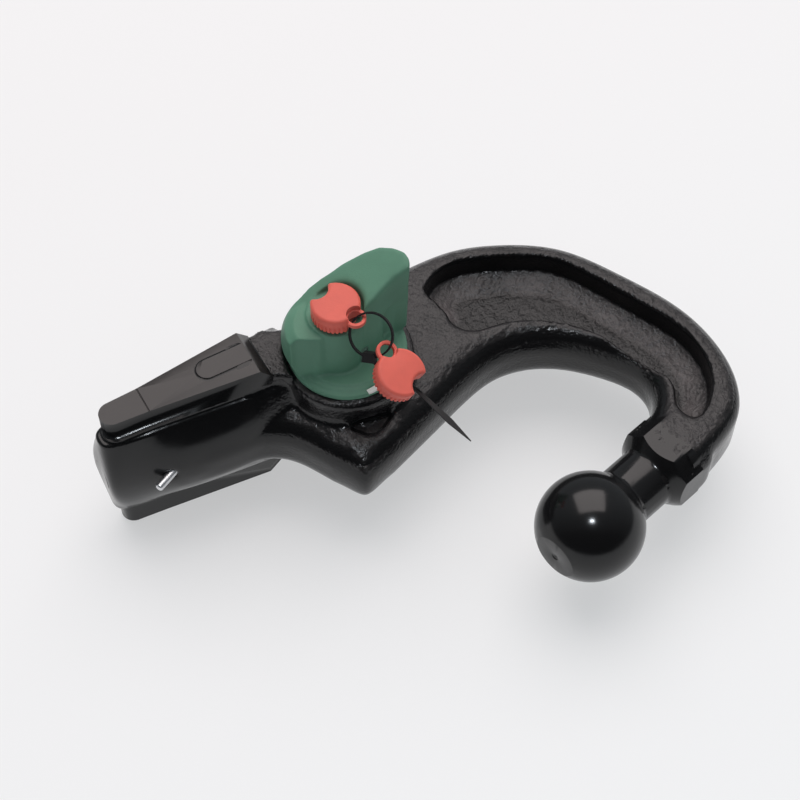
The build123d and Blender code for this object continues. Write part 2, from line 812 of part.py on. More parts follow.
def key_cap(plane, eye_angle, reach, scoop_angle):
    # Disc with a rounded top, a scoop, a ribbed foot and a thin ear with a hole.
    with BuildPart() as cap:
        with BuildSketch(plane):
            Circle(key_head_r)
            with PolarLocations(scoop_reach, 1, start_angle=scoop_angle):
                Circle(scoop_r, mode=Mode.SUBTRACT)
            fillet(vertices(), 1.2)
        extrude(amount=key_head_h)
        far = plane.offset(key_head_h).origin
        fillet(cap.faces().sort_by_distance(far)[0].edges(), cap_round)
        with BuildSketch(plane):
            with PolarLocations(key_head_r, rib_count):
                Rectangle(2 * rib_depth, 0.9)
        extrude(amount=rib_h, mode=Mode.SUBTRACT)
        with BuildSketch(plane):
            with PolarLocations(reach + 0.6, 1, start_angle=eye_angle):
                Circle(eye_hole_r + 1.2)
        extrude(amount=key_head_h, mode=Mode.SUBTRACT)
        with BuildSketch(plane.offset(ear_low)):
            with PolarLocations(reach, 1, start_angle=eye_angle):
                Circle(eye_r)
            with PolarLocations(reach - eye_r, 1, start_angle=eye_angle):
                Rectangle(eye_r, 2 * eye_r)
            with PolarLocations(reach, 1, start_angle=eye_angle):
                Circle(eye_hole_r, mode=Mode.SUBTRACT)
        extrude(amount=eye_t)
    return cap.part


def key_blade(plane):
    with BuildPart() as blade:
        with BuildSketch(plane.offset(-blade_len)):
            Rectangle(blade_t, blade_w)
        extrude(amount=blade_len)
        with BuildSketch(plane.offset(-blade_len)):
            with Locations((blade_t / 2, 0)):
                Rectangle(2 * groove_t, groove_w)
        extrude(amount=blade_len - 3, mode=Mode.SUBTRACT)
    return blade.part


save("key_head", key_cap(at_lock(key_back_z), key_1_eye, eye_reach, key_1_scoop))
save("key_blade", key_blade(at_lock(key_back_z)))

spare_back = (knob_x + 4.2, knob_y - 38.3, 57.8)
spare_axis = (0.14, -0.36, 0.92)
spare_plane = Plane(origin=spare_back, x_dir=(-0.05, 0.92, 0.37), z_dir=spare_axis)
spare_reach = 11.6
save("spare_key_head", key_cap(spare_plane, 0, spare_reach, key_2_scoop))
save("spare_key_blade", key_blade(spare_plane))

# The tie's loop goes through both ears.
ear_mid = ear_low + eye_t / 2
eye_1 = Vector(
    lock_x + eye_reach * math.cos(math.radians(key_1_eye)),
    lock_y + eye_reach * math.sin(math.radians(key_1_eye)), key_back_z + ear_mid,
)
eye_2 = spare_plane.from_local_coords(Vector(spare_reach, 0, ear_mid))
eye_line = (eye_2 - eye_1).normalized()
lean = Vector(-0.65, -0.15, 0.72)
loop_axis = (lean - eye_line * lean.dot(eye_line)).normalized()
loop_mid = (eye_1 + eye_2) * 0.5
loop_r = (eye_2 - eye_1).length / 2
strap_w = 1.7
strap_t = 0.8
loop_plane = Plane(origin=tuple(loop_mid), x_dir=tuple(eye_line), z_dir=tuple(loop_axis))

with BuildPart() as cable_tie:
    with BuildSketch(loop_plane.offset(-strap_w / 2)):
        Circle(loop_r + strap_t / 2)
        Circle(loop_r - strap_t / 2, mode=Mode.SUBTRACT)
    extrude(amount=strap_w)
    with BuildSketch(loop_plane.offset(-2.4)):
        with Locations((loop_r * math.cos(tie_block_a), loop_r * math.sin(tie_block_a))):
            Rectangle(4.4, 5.4, rotation=math.degrees(tie_block_a))
    extrude(amount=4.8)
    with BuildLine():
        tail = Spline(
            [tuple(loop_plane.from_local_coords(
                Vector(loop_r * math.cos(tie_block_a), loop_r * math.sin(tie_block_a), 0)))]
            + [(knob_x + x, knob_y + y, z) for x, y, z in tail_points]
        )
    with BuildSketch(Plane(origin=tail @ 0, z_dir=tail % 0)):
        Rectangle(strap_w, strap_t)
    sweep()
save("cable_tie", cable_tie.part)
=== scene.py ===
import math

import bpy
from mathutils import Matrix, Vector
from mathutils.geometry import intersect_point_line


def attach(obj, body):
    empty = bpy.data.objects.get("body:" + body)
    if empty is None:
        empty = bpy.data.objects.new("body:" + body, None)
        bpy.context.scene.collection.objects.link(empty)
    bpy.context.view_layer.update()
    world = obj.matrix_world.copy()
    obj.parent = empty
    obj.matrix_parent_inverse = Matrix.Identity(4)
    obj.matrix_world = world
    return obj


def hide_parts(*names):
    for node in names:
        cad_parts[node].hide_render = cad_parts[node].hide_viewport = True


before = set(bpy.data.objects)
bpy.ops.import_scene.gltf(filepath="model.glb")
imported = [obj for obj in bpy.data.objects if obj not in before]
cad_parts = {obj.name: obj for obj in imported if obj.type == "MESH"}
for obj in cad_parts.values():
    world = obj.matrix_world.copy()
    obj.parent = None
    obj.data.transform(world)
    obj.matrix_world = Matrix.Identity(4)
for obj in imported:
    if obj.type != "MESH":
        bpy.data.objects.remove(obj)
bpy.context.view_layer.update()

bl_info = {
    "name": "Detachable trailer hook",
    "version": (1, 0, 0),
    "blender": (4, 5, 0),
    "location": "View3D > Sidebar > Trailer hook",
    "description": "Dresses the trailer hook's solids and sets them on a pale table",
    "category": "Object",
}

MM = 0.001

# the hook's own places, in metres
KNOB = Vector((-59.6, 116.8, 0.0)) * MM
LEDGE_Z = 28.0 * MM
PLATEAU_END_X = -96.4 * MM
PLATEAU_FACE_Z = 36.5 * MM
CREASE_X = -153.8 * MM
CREASE_WIDTHS = (0.05 * MM, 0.35 * MM)
NECK_DIR = Vector((0.970, 0.243, 0.0))
COLLAR_END = 54.0 * MM
COLLAR_BLEND = Vector((70.0, 2.0, 0.0)) * MM
BALL_SIDE_Y = 60.0 * MM
HEEL = Vector((-78.0, 65.0, 0.0)) * MM
HOLLOW = Vector((-62.0, 86.0, 20.0)) * MM
FAR_CORNER = Vector((-82.0, 148.0, 0.0)) * MM
BOSS_R = 30.5 * MM

# the forging is dressed in two skins that overlap between these two places
ARM_FROM_X = -112.0 * MM
TONGUE_TO_X = -98.0 * MM
TUCK = 0.6 * MM

# the near and the far edge of the web pocket, in millimetres
POCKET_NEAR = ((-1, 112), (4, 108), (14, 106.5), (33.7, 98.2), (51.5, 82), (61.2, 62.3),
               (66.4, 50), (68.7, 37.3), (63.1, 24))
POCKET_FAR = ((-5, 131), (-5, 140.3), (10, 146.2), (37.2, 137.4), (56, 125.3), (66.2, 110.1),
              (77.3, 86.5), (87.5, 62.3), (88.3, 42.2), (83, 28.9), (74.7, 20.4))

# the shares of painted warm sheen in the enamel's colour, on the open flats and on the pocket's
# floor, where the low share is painted shade
FLAT_PAINTED_SHEEN = 0.36
FLOOR_PAINTED_SHEEN = 0.1

# smoothing, and how often it is repeated
SMOOTHING = 0.5
FORGING_ROUNDS = 8
FLANK_ROUNDS = 40
WHEEL_ROUNDS = 14
CROWN_ROUNDS = 90
BEVEL_STEPS = 3
LUMP_SIZE = 2.8 * MM
CAP_EDGE = 0.5 * MM

# the tie's free tail, its width at shares of that length, and its strap's width and thickness
TAIL_START = Vector((-48.3, 73.1, 50.0)) * MM
TAIL_END = Vector((-41.0, 39.0, 50.0)) * MM
TAIL_WIDTHS = ((0.0, 1.0), (0.3, 1.25), (0.62, 1.55), (1.0, 0.12))
TAIL_SECTION = (1.7 * MM, 0.8 * MM)

CAMERA_AT = Vector((-277.3, -315.1, 739.7)) * MM
CAMERA_RIGHT = Vector((0.87197, -0.48955, 0.00326))
CAMERA_UP = Vector((0.40972, 0.73339, 0.54246))
CAMERA_BACK = Vector((-0.26795, -0.47168, 0.84007))
CAMERA_LENS = 84.80
SENSOR = 36.0

# name, place, width and height, watts, colour, what it points at, glints only
LAMPS = (
    ("soft_box", (0.42, 1.0, 2.2), (2.5, 2.3), 48.0, (1.0, 0.92, 0.90), (0, 0.1, 0), False),
    ("small_lamp", (-0.19, -0.28, 1.0), (0.12, 0.085), 3.4, (0.88, 0.94, 1.0), (0, 0.08, 0),
     True),
)

# the room is brightest toward FAR_SIDE: as light, and as it is seen in glints
FAR_SIDE = (0.45, 0.80, 0.40)
ROOM_COLOUR = (0.92, 0.99, 1.04, 1.0)
ROOM_LIGHT = (0.26, 0.36)
ROOM_LIGHT_SPAN = (-0.5, 0.6)
ROOM_SEEN = (0.01, 0.30)
ROOM_SEEN_SPAN = (-0.35, 0.6)

# the table, its two tones from near to far, and the share of glow that the eye sees on it
FLOOR_Z = -43.2 * MM
TABLE_SIDE = 8.0
TABLE_TONE_SPAN = (-0.3, 0.35)
TABLE_GLOW = 0.52
TABLE_GLOW_POWER = 1.06


# ------------------------------------------------------------------ settings
class HookSizes(bpy.types.PropertyGroup):
    """Sizes that change how the dressed hook looks."""

    arm_cell: bpy.props.FloatProperty(
        name="Arm cell", description="Cell of the mesh that blends the arm's edges",
        default=1.1 * MM, min=0.5 * MM, max=3 * MM, unit="LENGTH", precision=5,
    )
    tongue_cell: bpy.props.FloatProperty(
        name="Tongue cell", description="Cell of the mesh that rounds the tongue's edges",
        default=0.64 * MM, min=0.4 * MM, max=3 * MM, unit="LENGTH", precision=5,
    )
    wheel_cell: bpy.props.FloatProperty(
        name="Wheel cell", description="Cell of the mesh that rounds the hand wheel",
        default=0.5 * MM, min=0.3 * MM, max=2 * MM, unit="LENGTH", precision=5,
    )
    ground_edge: bpy.props.FloatProperty(
        name="Ground edge", description="Bevel on the edges of the machined faces",
        default=0.4 * MM, min=0.05 * MM, max=2 * MM, unit="LENGTH", precision=5,
    )
    skin: bpy.props.FloatProperty(
        name="Skin", description="How far the machined faces stand proud of the forging",
        default=0.1 * MM, min=0.0, max=0.5 * MM, unit="LENGTH", precision=5,
    )
    lumps: bpy.props.FloatProperty(
        name="Lumps", description="Height of the lumps in the forging's flats",
        default=0.9 * MM, min=0.0, max=2 * MM, unit="LENGTH", precision=5,
    )
    valley: bpy.props.FloatProperty(
        name="Valley", description="How far the pocket's floor sinks from its far wall",
        default=3.2 * MM, min=0.0, max=4 * MM, unit="LENGTH", precision=5,
    )
    pebble: bpy.props.FloatProperty(
        name="Pebble depth", description="Depth of the pebbled skin on the forging's flats",
        default=0.75 * MM, min=0.0, max=2 * MM, unit="LENGTH", precision=5,
    )


class HookColours(bpy.types.PropertyGroup):
    """Colours of the hook's finishes."""

    enamel: bpy.props.FloatVectorProperty(
        name="Enamel", description="Black enamel of the forging", subtype="COLOR", size=3,
        default=(0.0075, 0.0075, 0.008), min=0.0, max=1.0,
    )
    # colour of the painted warm sheen on the forging's flats and of the painted highlight on the
    # pocket's slope
    skin: bpy.props.FloatVectorProperty(
        name="Forging skin", description="Brownish tone of the pebbled flats", subtype="COLOR",
        size=3, default=(0.085, 0.075, 0.075), min=0.0, max=1.0,
    )
    wheel: bpy.props.FloatVectorProperty(
        name="Hand wheel", description="Green plastic of the hand wheel", subtype="COLOR",
        size=3, default=(0.104, 0.248, 0.166), min=0.0, max=1.0,
    )
    key: bpy.props.FloatVectorProperty(
        name="Key caps", description="Red plastic of the key caps", subtype="COLOR", size=3,
        default=(0.76, 0.135, 0.098), min=0.0, max=1.0,
    )
    mark: bpy.props.FloatVectorProperty(
        name="Mark", description="White mark on the wheel's rim", subtype="COLOR", size=3,
        default=(0.80, 0.80, 0.76), min=0.0, max=1.0,
    )
    table: bpy.props.FloatVectorProperty(
        name="Table", description="Pale table under the hook", subtype="COLOR", size=3,
        default=(0.855, 0.845, 0.848), min=0.0, max=1.0,
    )
    table_near: bpy.props.FloatVectorProperty(
        name="Near table", description="Table's tone on the viewer's side", subtype="COLOR",
        size=3, default=(0.870, 0.884, 0.892), min=0.0, max=1.0,
    )


def sizes():
    return bpy.context.scene.hook_sizes


def colours():
    return bpy.context.scene.hook_colours


# ------------------------------------------------------------ material wiring
class Wire:
    """One output of a shader tree, with the sums that are done on it."""

    def __init__(self, tree, socket):
        self.tree = tree
        self.socket = socket

    def _maths(self, operation, *values, clamp=False):
        node = self.tree.nodes.new("ShaderNodeMath")
        node.operation = operation
        node.use_clamp = clamp
        for socket, value in zip(node.inputs, values):
            feed(self.tree, socket, value)
        return Wire(self.tree, node.outputs[0])

    def __add__(self, other):
        return self._maths("ADD", self, other)

    def __radd__(self, other):
        return self._maths("ADD", other, self)

    def __sub__(self, other):
        return self._maths("SUBTRACT", self, other)

    def __rsub__(self, other):
        return self._maths("SUBTRACT", other, self)

    def __mul__(self, other):
        return self._maths("MULTIPLY", self, other)

    def __rmul__(self, other):
        return self._maths("MULTIPLY", other, self)

    def __abs__(self):
        return self._maths("ABSOLUTE", self)

    def between(self, low, high):
        """0 at low, 1 at high, and held at both ends."""
        return self._maths("MULTIPLY", self - low, 1.0 / (high - low), clamp=True)


def feed(tree, socket, value):
    """Links a wire to a socket, or sets the socket to a value."""
    if isinstance(value, Wire):
        tree.links.new(value.socket, socket)
    else:
        socket.default_value = value


class Sheet:
    """A node tree with short ways to add to it."""

    def __init__(self, tree):
        self.tree = tree

    def node(self, kind, output=0, settings=None, **inputs):
        """A node of one kind: its settings are set first, then its sockets are fed by name."""
        node = self.tree.nodes.new(kind)
        for key, value in (settings or {}).items():
            setattr(node, key, value)
        for key, value in inputs.items():
            feed(self.tree, node.inputs[key.replace("_", " ")], value)
        return Wire(self.tree, node.outputs[output])

    def mixed(self, factor, first, second):
        """A colour that goes from first to second as factor goes from 0 to 1."""
        node = self.tree.nodes.new("ShaderNodeMix")
        node.data_type = "RGBA"
        feed(self.tree, node.inputs[0], factor)
        for socket, value in ((node.inputs[6], first), (node.inputs[7], second)):
            feed(self.tree, socket, value if isinstance(value, Wire) else (*value, 1.0))
        return Wire(self.tree, node.outputs[2])


class Paint(Sheet):
    """A material with one principled shader."""

    def __init__(self, name, colour, roughness, **constants):
        self.material = bpy.data.materials.new(name)
        self.material.use_nodes = True
        super().__init__(self.material.node_tree)
        self.shader = self.tree.nodes["Principled BSDF"]
        self.shader.inputs["Base Color"].default_value = (*colour, 1.0)
        self.shader.inputs["Roughness"].default_value = roughness
        for socket, value in constants.items():
            self.shader.inputs[socket.replace("_", " ")].default_value = value
        self.material.diffuse_color = (*colour, 1.0)

    def place(self):
        return self.node("ShaderNodeTexCoord", "Object")

    def stretched(self, scale):
        return self.node("ShaderNodeMapping", 0, Vector=self.place(), Scale=scale)

    def noise(self, scale, detail=2.0, roughness=0.5, vector=None):
        return self.node(
            "ShaderNodeTexNoise", 0, Vector=vector or self.place(), Scale=scale,
            Detail=detail, Roughness=roughness,
        )

    def marked(self, name):
        """The number that the mesh stores under name."""
        return self.node("ShaderNodeAttribute", "Fac", {"attribute_name": name})

    def into(self, socket, value):
        self.tree.links.new(value.socket, self.shader.inputs[socket])

    def bump(self, height, depth, strength=1.0, below=None):
        """A relief of the given depth, laid over the relief below it."""
        more = {"Normal": below} if below else {}
        return self.node(
            "ShaderNodeBump", 0, Distance=depth, Strength=strength, Height=height, **more,
        )


def enamel_paint():
    """Thick black enamel: glassy on the rounds, pebbled on the flats, with a painted brown sheen
    on the flats, painted shade on the pocket's floor and a painted highlight on its slope.
    """
    black = tuple(colours().enamel)
    paint = Paint("bar_enamel", black, 0.12, Specular_IOR_Level=0.36)
    flat = paint.marked("flatness")
    waves = paint.noise(scale=110.0)
    grains = paint.noise(scale=750.0, roughness=0.55)
    pebbles = paint.noise(scale=520.0, roughness=0.55)
    patch = paint.noise(scale=60.0, detail=3.0, roughness=0.6)
    swells = paint.bump(waves, depth=0.8 * MM, strength=0.12)
    skin = paint.bump(grains * paint.marked("grain"), depth=0.3 * MM, strength=0.7, below=swells)
    paint.into("Normal", paint.bump(pebbles * flat, depth=sizes().pebble, below=skin))
    # painted sheen: brown mixed into the black by the stored share, standing in for warm light
    # on the flats and the pocket's slope
    painted_sheen_share = paint.marked("painted_sheen") * patch.between(0.1, 0.6)
    paint.into("Base Color", paint.mixed(painted_sheen_share, black, tuple(colours().skin)))
    paint.into("Roughness", patch.between(0.35, 0.7) * 0.06 + 0.1 + flat * 0.25)
    return paint.material


def ground_paint():
    """Thin enamel over a ground face: satin, a little brown, and creased at CREASE_X."""
    paint = Paint("plateau_satin", (0.017, 0.0135, 0.013), 0.3, Specular_IOR_Level=0.42)
    along_x = paint.stretched((1.0, 16.0, 16.0))
    lines = paint.noise(scale=70.0, detail=4.0, roughness=0.6, vector=along_x)
    patch = paint.noise(scale=25.0, detail=3.0, roughness=0.55)
    at_x = paint.node("ShaderNodeSeparateXYZ", "X", Vector=paint.place())
    crease = abs(at_x - CREASE_X).between(*CREASE_WIDTHS)
    brushed = paint.bump(lines, depth=0.3 * MM, strength=0.15)
    paint.into("Normal", paint.bump(crease, depth=0.2 * MM, below=brushed))
    paint.into("Roughness", lines * 0.06 + patch * 0.12 + 0.22)
    return paint.material


def bare_enamel():
    """The same enamel where it is thin and even: ball, neck, collar and tongue."""
    paint = Paint("smooth_enamel", tuple(colours().enamel), 0.16, Specular_IOR_Level=0.38)
    waves = paint.noise(scale=90.0)
    patch = paint.noise(scale=50.0, detail=3.0, roughness=0.6)
    paint.into("Normal", paint.bump(waves, depth=0.6 * MM, strength=0.06))
    paint.into("Roughness", patch.between(0.35, 0.7) * 0.06 + 0.15)
    return paint.material


def plastic_paint(name, colour, roughness):
    """Satin moulded plastic or rubber, a little uneven in tone."""
    paint = Paint(name, colour, roughness, Specular_IOR_Level=0.3)
    fine = paint.noise(scale=1500.0, roughness=0.6)
    patch = paint.noise(scale=70.0, detail=3.0, roughness=0.6)
    darker = tuple(c * 0.86 for c in colour)
    paint.into("Normal", paint.bump(fine, depth=0.12 * MM, strength=0.6))
    paint.into("Base Color", paint.mixed(patch.between(0.3, 0.75), darker, tuple(colour)))
    paint.into("Roughness", patch * 0.12 + (roughness - 0.06))
    return paint.material


def metal_paint(name, colour, roughness):
    """Bare or plated metal with a fine grain."""
    paint = Paint(name, colour, roughness, Metallic=1.0)
    fine = paint.noise(scale=900.0, detail=3.0, roughness=0.6)
    paint.into("Roughness", fine * 0.16 + (roughness - 0.08))
    paint.into("Normal", paint.bump(fine, depth=0.1 * MM, strength=0.3))
    return paint.material


FINISHES = {}


def finish(name):
    """The named finish, made once."""
    if name not in FINISHES:
        makers = {
            "bar_enamel": enamel_paint,
            "plateau_satin": ground_paint,
            "smooth_enamel": bare_enamel,
            "wheel_green": lambda: plastic_paint("wheel_green", colours().wheel, 0.55),
            "key_red": lambda: plastic_paint("key_red", colours().key, 0.5),
            "mark_white": lambda: plastic_paint("mark_white", colours().mark, 0.5),
            "tie_black": lambda: plastic_paint("tie_black", (0.008, 0.008, 0.009), 0.6),
            "seal_rubber": lambda: plastic_paint("seal_rubber", (0.01, 0.01, 0.01), 0.7),
            "zinc": lambda: metal_paint("bright_zinc", (0.72, 0.73, 0.75), 0.38),
            "steel": lambda: metal_paint("ground_steel", (0.5, 0.5, 0.51), 0.32),
            "spring_steel": lambda: metal_paint("spring_steel", (0.25, 0.25, 0.26), 0.3),
            "bronze": lambda: metal_paint("bush_bronze", (0.55, 0.38, 0.18), 0.4),
            "nickel": lambda: metal_paint("nickel", (0.66, 0.64, 0.6), 0.22),
        }
        FINISHES[name] = makers[name]()
    return FINISHES[name]


# -------------------------------------------------------- selecting and shaping
def lone(obj):
    """Selects only obj and makes it active."""
    if bpy.context.mode != "OBJECT":
        bpy.ops.object.mode_set(mode="OBJECT")
    bpy.ops.object.select_all(action="DESELECT")
    obj.select_set(True)
    bpy.context.view_layer.objects.active = obj


def copy_of_node(node, name):
    """A free copy of a CAD node's mesh with its loose corners merged."""
    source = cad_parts[node]
    piece = bpy.data.objects.new(name, source.data.copy())
    bpy.context.scene.collection.objects.link(piece)
    lone(piece)
    bpy.ops.object.mode_set(mode="EDIT")
    bpy.ops.mesh.select_all(action="SELECT")
    bpy.ops.mesh.remove_doubles(threshold=0.01 * MM)
    bpy.ops.object.mode_set(mode="OBJECT")
    return piece


def cut(piece, at, away):
    """Cuts a piece at a plane, drops the side that away points to and closes the cut."""
    lone(piece)
    bpy.ops.object.mode_set(mode="EDIT")
    bpy.ops.mesh.select_all(action="SELECT")
    bpy.ops.mesh.bisect(plane_co=at, plane_no=away, use_fill=True, clear_outer=True)
    bpy.ops.object.mode_set(mode="OBJECT")


def join(keep, *others):
    """Makes others part of keep."""
    lone(keep)
    for other in others:
        other.select_set(True)
    bpy.ops.object.join()


def pick(piece, wanted):
    """Selects the points of a piece for which wanted is true, ready for edit mode."""
    lone(piece)
    bpy.ops.object.mode_set(mode="EDIT")
    bpy.ops.mesh.select_all(action="DESELECT")
    bpy.ops.object.mode_set(mode="OBJECT")
    for vertex in piece.data.vertices:
        vertex.select = wanted(vertex.co)
    bpy.ops.object.mode_set(mode="EDIT")


def apply_modifier(piece, kind, **settings):
    lone(piece)
    modifier = piece.modifiers.new(kind.lower(), kind)
    for key, value in settings.items():
        setattr(modifier, key, value)
    bpy.ops.object.modifier_apply(modifier=modifier.name)


def smooth(piece, rounds, area=""):
    """Smooths a piece, all over or where its vertex group area says."""
    apply_modifier(piece, "SMOOTH", factor=SMOOTHING, iterations=rounds, vertex_group=area)


def swell(piece, depth, area=""):
    """Moves a piece's skin out by depth, all over or where its vertex group area says."""
    apply_modifier(piece, "DISPLACE", strength=depth, mid_level=0.0, vertex_group=area)


def bevel(piece, width, degrees, harden=False):
    """Bevels the edges that are sharper than degrees."""
    apply_modifier(piece, "BEVEL", width=width, segments=BEVEL_STEPS, limit_method="ANGLE",
                   angle_limit=math.radians(degrees), harden_normals=harden)


def shade(piece, degrees=None):
    """Shades a piece as round, apart from edges sharper than degrees where they are given."""
    lone(piece)
    if degrees is None:
        bpy.ops.object.shade_smooth()
    else:
        bpy.ops.object.shade_smooth_by_angle(angle=math.radians(degrees))


def blend_edges(piece, cell, rounds):
    """Turns a piece into one even skin whose edges are rounded like a forging's."""
    apply_modifier(piece, "REMESH", mode="VOXEL", voxel_size=cell, adaptivity=0.0)
    smooth(piece, rounds)


def grind_edges(piece, width, degrees):
    """Crisp faces with a fine bevel, a skin's depth proud of the forging."""
    swell(piece, sizes().skin)
    shade(piece, degrees)
    bevel(piece, width, degrees, harden=True)


def group(piece, name, weigh):
    """A vertex group whose weight at each point is weigh(vertex), held between 0 and 1."""
    made = piece.vertex_groups.new(name=name)
    for vertex in piece.data.vertices:
        weight = weigh(vertex)
        if weight > 0.0:
            made.add([vertex.index], held(weight), "REPLACE")
    return made.name


def store(piece, name, value):
    """Stores value(vertex), held between 0 and 1, on the mesh under name for the material."""
    layer = piece.data.attributes.new(name, "FLOAT", "POINT")
    for vertex in piece.data.vertices:
        layer.data[vertex.index].value = held(value(vertex))


def wear(piece, *names):
    """Puts finishes on a piece, one slot each."""
    piece.data.materials.clear()
    for name in names:
        piece.data.materials.append(finish(name))


def belong(piece, body, slot, *nodes):
    """Ties a piece to its body and hides the nodes it stands for; slot is not used."""
    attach(piece, body)
    if nodes:
        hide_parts(*nodes)


def dress_node(node, name):
    """Gives a CAD node a finish and leaves its shape alone."""
    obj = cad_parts[node]
    if not obj.data.materials:
        obj.data.materials.append(finish(name))
    for index in range(len(obj.data.materials)):
        obj.data.materials[index] = finish(name)


# ------------------------------------------------------------ places on the hook
# Limits and spans in millimetres. What a span governs changes between its two ends.
HEEL_REACH = (13.0, 19.0)
HOLLOW_REACH = (17.0, 24.0)
FAR_CORNER_REACH = (5.0, 8.0)
FAR_CORNER_RISE = (15.0, 19.0)
BOSS_FOOT_REACH = (6.0, 9.0)
BOSS_FOOT_HEIGHTS = (8.0, 28.0)
COLLAR_REACH = (11.0, 16.0)
COLLAR_BEYOND = (2.0, 6.0)
RIB_REACH = (6.0, 9.5)
RIB_FROM_Z = 4.0
RIB_FROM_X = -10.0
FLOOR_SLOPE = (2.5, 10.0)
FLOOR_TOP = 8.0
FLOOR_FROM_X = -6.0
FLOOR_CORNER_REACH = (5.5, 8.5)
FLOOR_CORNER_TOP = 13.0
POCKET_FROM_X = -12.0
POCKET_TOP = 12.0
ARM_FLATS_FROM_X = -97.0
ARM_FLATS_TOP = 37.0
FLATS_FROM_BALL = 50.0
# the band beside the pocket's far wall where a painted highlight is laid
PAINTED_HIGHLIGHT_SLOPE = (8.5, 12.5)
GRAIN_ALONG = (-118.0, -98.0)
GRAIN_FROM_BALL = (55.0, 65.0)
FLANK_HEIGHTS = (24.0, 26.0)
FLANK_ALONG = (-119.0, -113.0)
HIDDEN_ALONG = (-108.0, -100.0)
CROWN_HEIGHTS = (62.0, 68.0)
CROWN_ALONG = (-3.0, 3.0)

# how level a face is, from upright at 0 to level at 1: spans, and a limit
POCKET_LEVELS = (0.45, 0.75)
OPEN_LEVELS = (0.8, 0.95)
# faces at least this level get the painted sheen
PAINTED_SHEEN_LEVELS = (0.4, 0.8)
FLOOR_LEVEL = 0.5
PLATEAU_LEVEL = 0.3


def rise(value, span):
    """0 at the low end of a span and 1 at its high end, and on beyond them."""
    low, high = span
    return (value - low) / (high - low)


def fall(value, span):
    """1 at the low end of a span and 0 at its high end, and on beyond them."""
    low, high = span
    return (high - value) / (high - low)


def held(value):
    return max(0.0, min(1.0, value))


def across(vertex, point):
    """How far a vertex is from an upright line through point, in millimetres."""
    return (vertex.co - point).xy.length / MM


def from_line(vertex, line):
    """How far a vertex is from a line of points seen from above, in millimetres."""
    here = vertex.co / MM
    here.z = 0.0
    best = math.inf
    for start, end in zip(line, line[1:]):
        start, end = Vector((*start, 0.0)), Vector((*end, 0.0))
        _, along = intersect_point_line(here, start, end)
        best = min(best, (here - start.lerp(end, held(along))).length)
    return best


def near_heel(vertex):
    return fall(across(vertex, HEEL), HEEL_REACH)


def near_hollow(vertex):
    return fall((vertex.co - HOLLOW).length / MM, HOLLOW_REACH)


def near_far_corner(vertex):
    """The forging's far corner beside the tongue, above and below."""
    return min(fall(across(vertex, FAR_CORNER), FAR_CORNER_REACH),
               rise(abs(vertex.co.z) / MM, FAR_CORNER_RISE))


def near_boss_foot(vertex):
    """The corner where the boss stands on the arm, above and below."""
    low, high = BOSS_FOOT_HEIGHTS
    height = abs(vertex.co.z) / MM
    if height > high or height < low:
        return 0.0
    return fall(abs(across(vertex, KNOB) - BOSS_R / MM), BOSS_FOOT_REACH)


def near_collar_end(vertex):
    beyond = (vertex.co.dot(NECK_DIR) - COLLAR_END) / MM
    return min(fall(across(vertex, COLLAR_BLEND), COLLAR_REACH), rise(beyond, COLLAR_BEYOND))


def near_rib(vertex):
    """The slim rib between the pocket and the mouth, which is round on top."""
    if abs(vertex.co.z) < RIB_FROM_Z * MM or vertex.co.x < RIB_FROM_X * MM:
        return 0.0
    return fall(from_line(vertex, POCKET_NEAR), RIB_REACH)


def near_floor_corner(vertex):
    """The corner between the pocket's floor and its far wall."""
    if abs(vertex.co.z) > FLOOR_CORNER_TOP * MM or vertex.co.x < POCKET_FROM_X * MM:
        return 0.0
    return fall(from_line(vertex, POCKET_FAR), FLOOR_CORNER_REACH)


def near_flank(vertex):
    """The tongue's sides below the ledges, away from where the arm takes over."""
    at = vertex.co / MM
    return min(fall(abs(at.z), FLANK_HEIGHTS), fall(at.x, FLANK_ALONG))


def near_hidden_end(vertex):
    """The end of the tongue's skin that the arm's skin covers."""
    return rise(vertex.co.x / MM, HIDDEN_ALONG)


def near_crown(vertex):
    """The tall end of the grip, whose outline is one smooth curve."""
    at = (vertex.co - KNOB) / MM
    return min(rise(at.z, CROWN_HEIGHTS), rise(at.x, CROWN_ALONG))


def sunk_floor(vertex):
    """How far the pocket's floor has sunk: not at its far wall, fully past the slope there."""
    at = vertex.co / MM
    if abs(at.z) > FLOOR_TOP or at.x < FLOOR_FROM_X or abs(vertex.normal.z) < FLOOR_LEVEL:
        return 0.0
    return rise(from_line(vertex, POCKET_FAR), FLOOR_SLOPE)


def flatness(vertex):
    """1 on the forging's pebbled flats, 0 on its rounds."""
    at = vertex.co / MM
    off_arm = at.x < ARM_FLATS_FROM_X or abs(at.z) > ARM_FLATS_TOP
    if off_arm or vertex.co.length < FLATS_FROM_BALL * MM:
        return 0.0
    levels = POCKET_LEVELS if abs(at.z) < POCKET_TOP else OPEN_LEVELS
    return rise(abs(vertex.normal.z), levels)


def painted_sheen(vertex):
    """How much painted brown sheen the enamel gets: some on the up-facing flats, least on the
    pocket's floor as painted shade, most on its slope as a painted highlight.
    """
    if abs(vertex.co.z) > POCKET_TOP * MM or vertex.co.x < POCKET_FROM_X * MM:
        return FLAT_PAINTED_SHEEN * held(flatness(vertex))
    level = held(rise(abs(vertex.normal.z), PAINTED_SHEEN_LEVELS))
    slope = held(fall(from_line(vertex, POCKET_FAR), PAINTED_HIGHLIGHT_SLOPE))
    return level * (FLOOR_PAINTED_SHEEN + slope * (1.0 - FLOOR_PAINTED_SHEEN))


def grain(vertex):
    """How grained the enamel is: not at all near the collar and on the tongue."""
    return min(rise(vertex.co.x / MM, GRAIN_ALONG),
               rise(vertex.co.length / MM, GRAIN_FROM_BALL))


